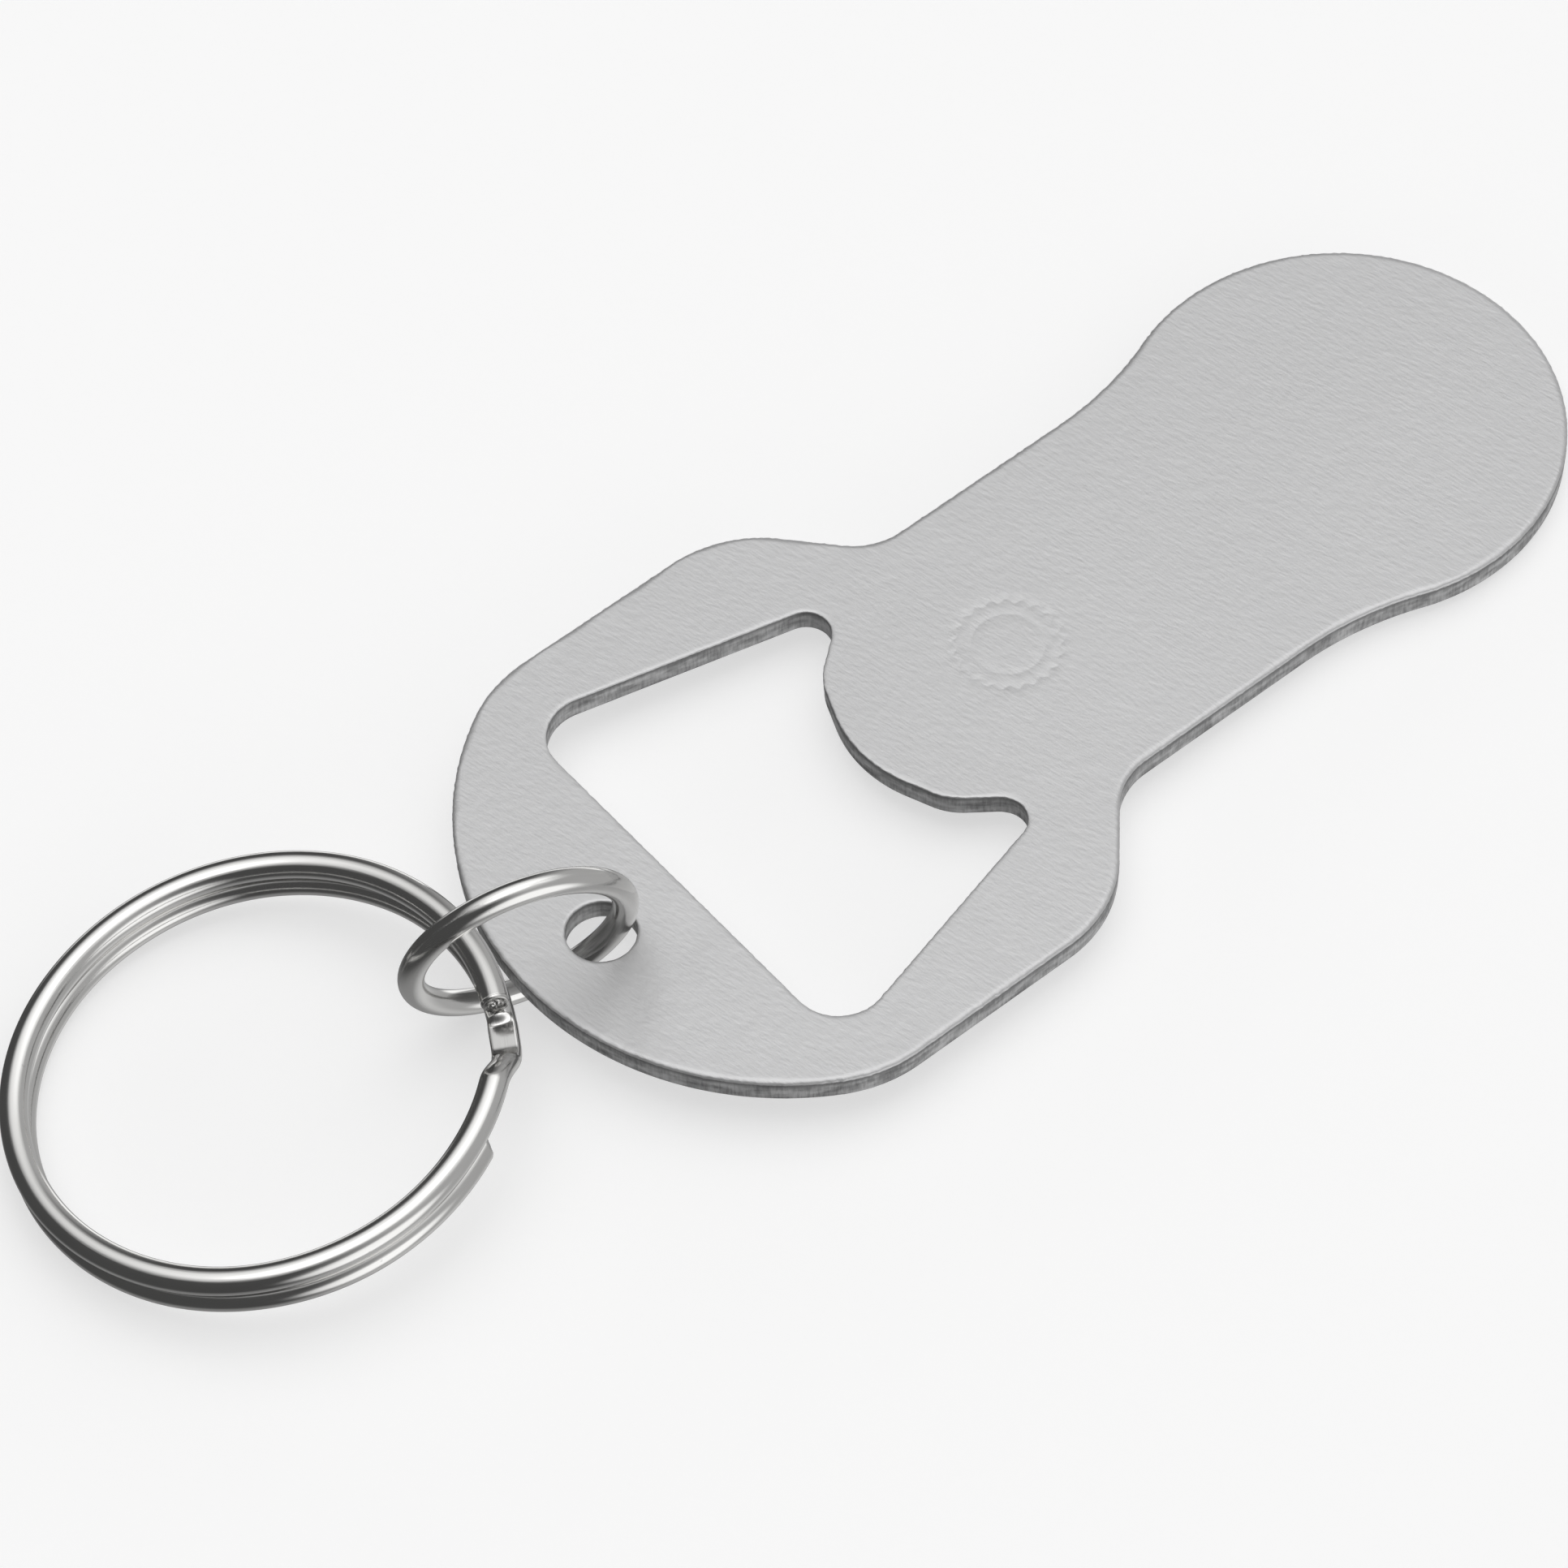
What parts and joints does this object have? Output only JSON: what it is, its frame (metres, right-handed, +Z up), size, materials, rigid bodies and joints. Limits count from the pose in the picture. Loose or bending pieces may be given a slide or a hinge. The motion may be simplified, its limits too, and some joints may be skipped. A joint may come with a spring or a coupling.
{
  "type": "keychain bottle opener",
  "caption": "Flat metal bottle opener with a coin-sized disc end, a closed jump ring through its other end, and a coiled split key ring.",
  "frame": {"origin": "middle of the bottom of the whole object's box, on the surface the opener lies on", "axes": "+X along the plate towards its disc end, +Y across the plate, +Z up from the surface it lies on"},
  "size_m": [0.091, 0.0334, 0.0124],
  "materials": {
    "plate_aluminium": "satin, tumbled, with a fine ripple on the faces and sheared edges",
    "ring_steel": "bright nickel-plated steel wire, polished, with fine drawing marks"
  },
  "bodies": {
    "opener": {"opener_plate": "plate_aluminium"},
    "jump_link": {"jump_ring": "ring_steel"},
    "key_ring": {"split_ring": "ring_steel"}
  },
  "joints": [
    {"name": "key_ring_swing", "type": "hinge", "parent": "opener", "child": "jump_link", "pos_m": [-0.01922, -0.00035, 0.0062], "axis": [0.2956, 0.9395, 0.1731], "range_deg": [-3, 150]},
    {"name": "split_ring_turn", "type": "hinge", "parent": "jump_link", "child": "key_ring", "pos_m": [-0.03254, 0.00381, 0.00291], "axis": [-0.0781, 0.0976, 0.9922], "continuous": true}
  ]
}
